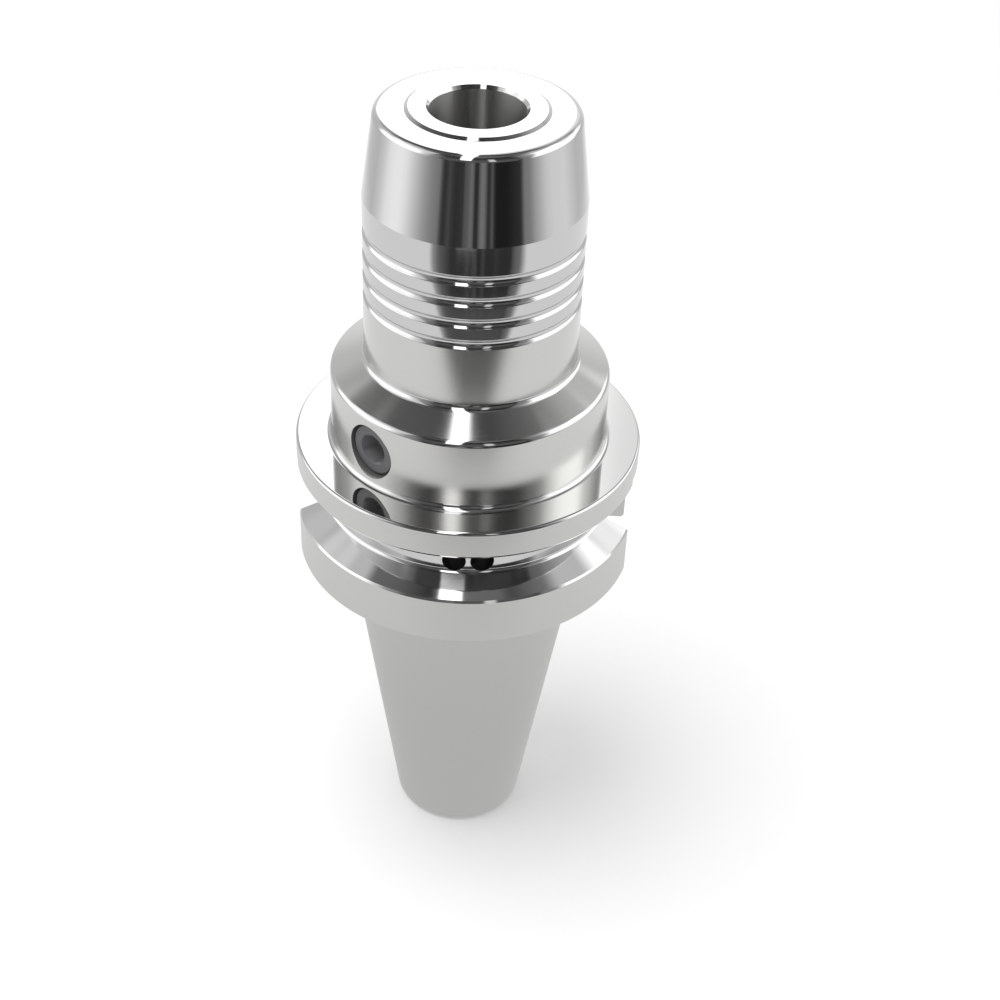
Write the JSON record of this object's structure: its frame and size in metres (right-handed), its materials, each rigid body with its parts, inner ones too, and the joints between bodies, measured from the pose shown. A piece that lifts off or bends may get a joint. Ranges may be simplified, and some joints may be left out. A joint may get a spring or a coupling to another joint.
{
  "type": "hydraulic chuck",
  "caption": "Hydraulic expansion tool holder with a steep-taper shank, slotted gripper flange and a grooved neck that grips a round tool shank.",
  "frame": {"origin": "on the axis at the taper's gauge line, where the cone is 44.45 mm across", "axes": "+Z along the axis towards the nose; the two drive slots face +X and -X"},
  "size_m": [0.063, 0.063, 0.1554],
  "materials": {
    "ground_steel": "ground shank and flange, polished nose and groove flanks",
    "sleeve_steel": "ground",
    "black_screw": "black oxide steel",
    "piston_steel": "ground",
    "ball_steel": "polished bearing steel",
    "seal_rubber": "smooth moulded",
    "backup_plastic": "turned, slightly waxy"
  },
  "bodies": {
    "holder": {"holder_body": "ground_steel", "expansion_sleeve": "sleeve_steel", "bleed_ball": "ball_steel", "bleed_screw": "black_screw"},
    "piston": {"pressure_piston": "piston_steel", "piston_seal": "seal_rubber", "piston_backup_ring": "backup_plastic"},
    "clamp_screw": {"clamp_screw": "black_screw"},
    "adjuster_ring": {"adjusting_screw_ring": "seal_rubber"},
    "adjusting_screw": {"adjusting_screw": "black_screw"}
  },
  "joints": [
    {"name": "piston_travel", "type": "slide", "parent": "holder", "child": "piston", "axis": [0.6428, 0.766, 0], "range_m": [0, 0.0025]},
    {"name": "clamp_screw_turn", "type": "hinge", "parent": "piston", "child": "clamp_screw", "pos_m": [-0.01286, -0.01532, 0.0338], "axis": [0.6428, 0.766, 0], "range_deg": [0, 900]},
    {"name": "adjuster_travel", "type": "slide", "parent": "holder", "child": "adjuster_ring", "axis": [0, 0, 1], "range_m": [0, 0.01]},
    {"name": "adjusting_screw_turn", "type": "hinge", "parent": "adjuster_ring", "child": "adjusting_screw", "pos_m": [0, 0, 0.03], "axis": [0, 0, 1], "range_deg": [0, 3600]}
  ],
  "couplings": [
    {"joint": "clamp_screw_turn", "follows": "piston_travel", "rad_per_m": 6283.2},
    {"joint": "adjusting_screw_turn", "follows": "adjuster_travel", "rad_per_m": 6283.2}
  ]
}
